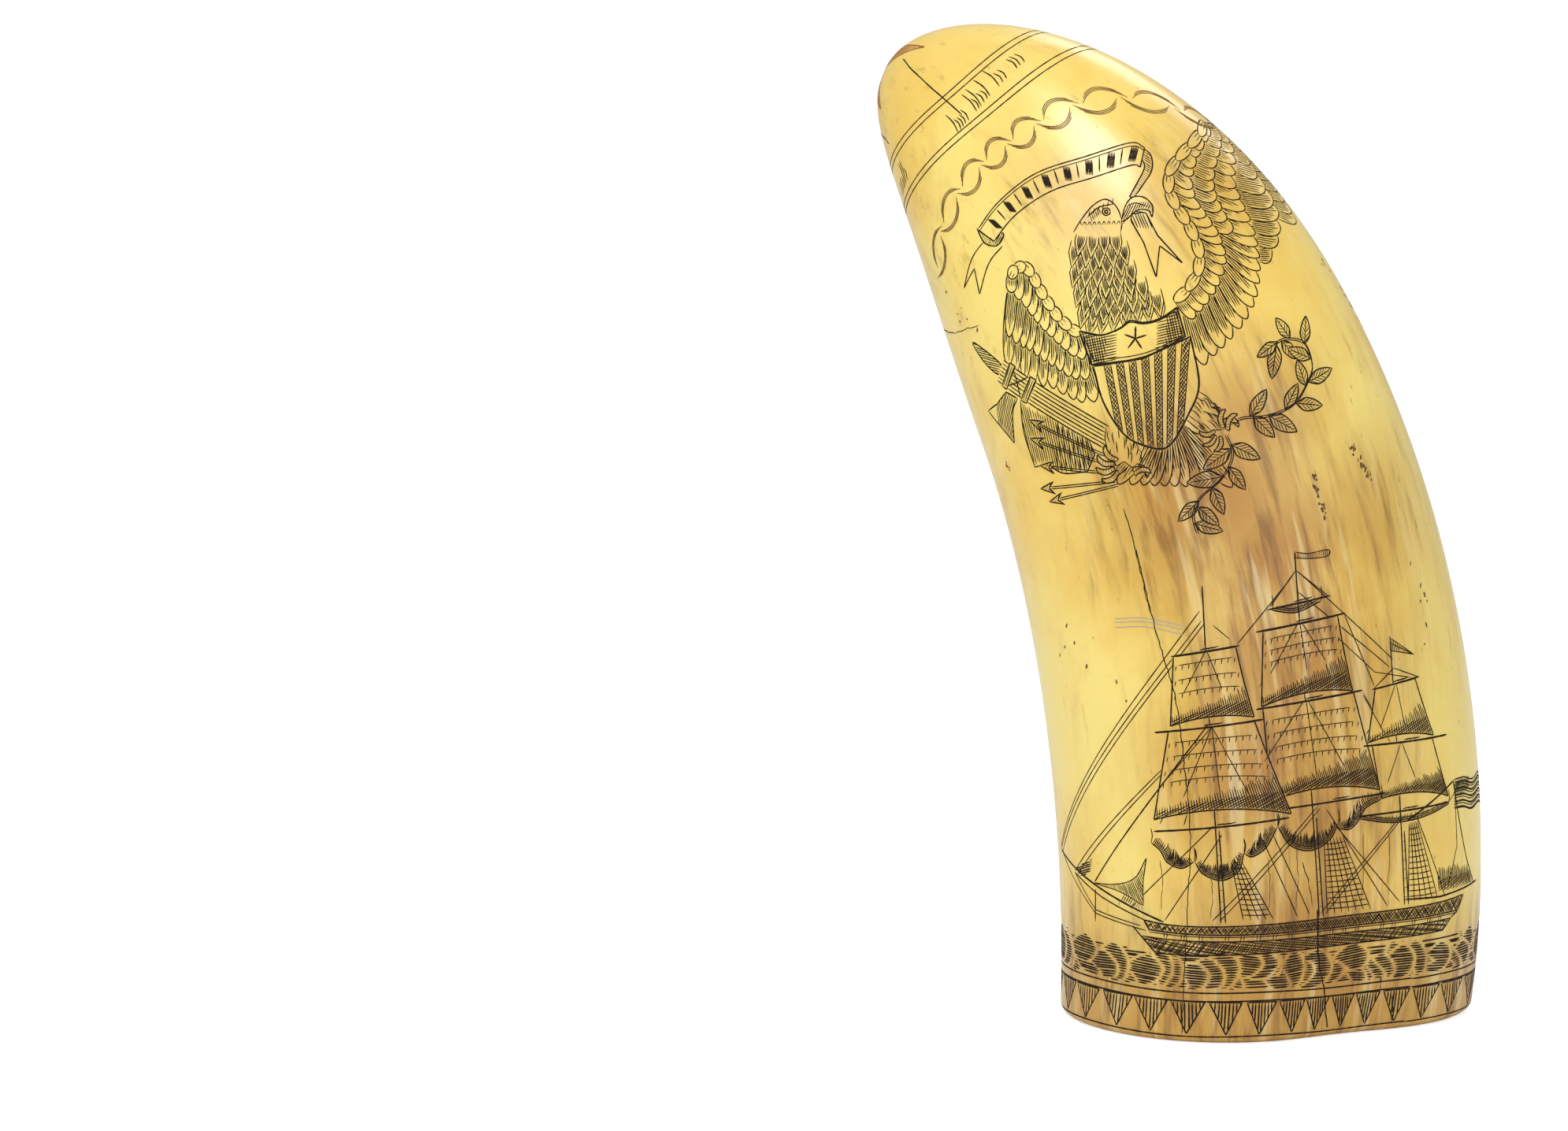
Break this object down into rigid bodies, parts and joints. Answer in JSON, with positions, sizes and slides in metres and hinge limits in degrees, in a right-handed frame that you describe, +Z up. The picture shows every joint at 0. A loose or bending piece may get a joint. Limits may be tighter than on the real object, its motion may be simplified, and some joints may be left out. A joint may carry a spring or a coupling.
{
  "type": "scrimshaw whale tooth",
  "caption": "Tall bowed whale tooth of polished ivory, sawn flat at its root so that it stands, hollow inside the root, for engraved scrimshaw decoration.",
  "frame": {"origin": "on the plane that the sawn root stands on, midway along the tooth's width and depth", "axes": "+Z up from the sawn root to the rounded tip, -Y towards the viewer of the face with the eagle and the ship, and the tip leans towards -X and a little towards +Y"},
  "size_m": [0.1038, 0.0722, 0.1599],
  "materials": {
    "ivory": "polished aged ivory, warm yellow, with fine inked engraving"
  },
  "bodies": {
    "root": {"tooth": "ivory"}
  },
  "joints": []
}
